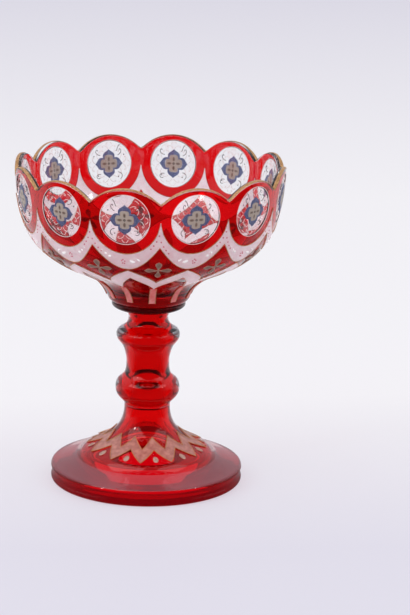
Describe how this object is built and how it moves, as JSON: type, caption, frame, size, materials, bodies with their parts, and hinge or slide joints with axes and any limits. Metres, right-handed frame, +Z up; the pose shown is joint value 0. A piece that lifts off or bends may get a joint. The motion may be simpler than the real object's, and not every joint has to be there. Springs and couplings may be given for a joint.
{
  "type": "footed cup",
  "caption": "Footed glass cup: scalloped bowl with cut roundels and enamel swags, on a collar, a hollow knopped stem and a domed foot.",
  "frame": {"origin": "centre of the foot's flat resting ring", "axes": "+Z up along the cup's axis of revolution, -Y through a cusp of the rim"},
  "size_m": [0.138, 0.138, 0.1681],
  "materials": {
    "ruby_glass": "clear ruby-stained glass, fire polished",
    "clear_glass": "clear glass over a ruby-lined hollow core",
    "satin_enamel": "satin translucent white",
    "cobalt_enamel": "fired opaque slate-blue enamel",
    "petal_enamel": "fired greyish gold enamel",
    "gilding": "fired gilding, slightly worn"
  },
  "bodies": {
    "root": {"foot": "ruby_glass", "stem": "clear_glass", "collar": "ruby_glass", "bowl": "ruby_glass", "rim_gilding": "gilding", "swag_band": "satin_enamel", "zigzag_band": "satin_enamel", "foot_band": "satin_enamel", "quatrefoil_01": "cobalt_enamel", "quatrefoil_02": "cobalt_enamel", "quatrefoil_03": "cobalt_enamel", "quatrefoil_04": "cobalt_enamel", "quatrefoil_05": "cobalt_enamel", "quatrefoil_06": "cobalt_enamel", "quatrefoil_07": "cobalt_enamel", "quatrefoil_08": "cobalt_enamel", "quatrefoil_09": "cobalt_enamel", "quatrefoil_10": "cobalt_enamel", "quatrefoil_11": "cobalt_enamel", "quatrefoil_12": "cobalt_enamel", "quatrefoil_flower_01": "petal_enamel", "quatrefoil_flower_02": "petal_enamel", "quatrefoil_flower_03": "petal_enamel", "quatrefoil_flower_04": "petal_enamel", "quatrefoil_flower_05": "petal_enamel", "quatrefoil_flower_06": "petal_enamel", "quatrefoil_flower_07": "petal_enamel", "quatrefoil_flower_08": "petal_enamel", "quatrefoil_flower_09": "petal_enamel", "quatrefoil_flower_10": "petal_enamel", "quatrefoil_flower_11": "petal_enamel", "quatrefoil_flower_12": "petal_enamel", "diamond_flower_01": "petal_enamel", "diamond_flower_02": "petal_enamel", "diamond_flower_03": "petal_enamel", "diamond_flower_04": "petal_enamel", "diamond_flower_05": "petal_enamel", "diamond_flower_06": "petal_enamel", "diamond_flower_07": "petal_enamel", "diamond_flower_08": "petal_enamel", "diamond_flower_09": "petal_enamel", "diamond_flower_10": "petal_enamel", "diamond_flower_11": "petal_enamel", "diamond_flower_12": "petal_enamel"}
  },
  "joints": []
}
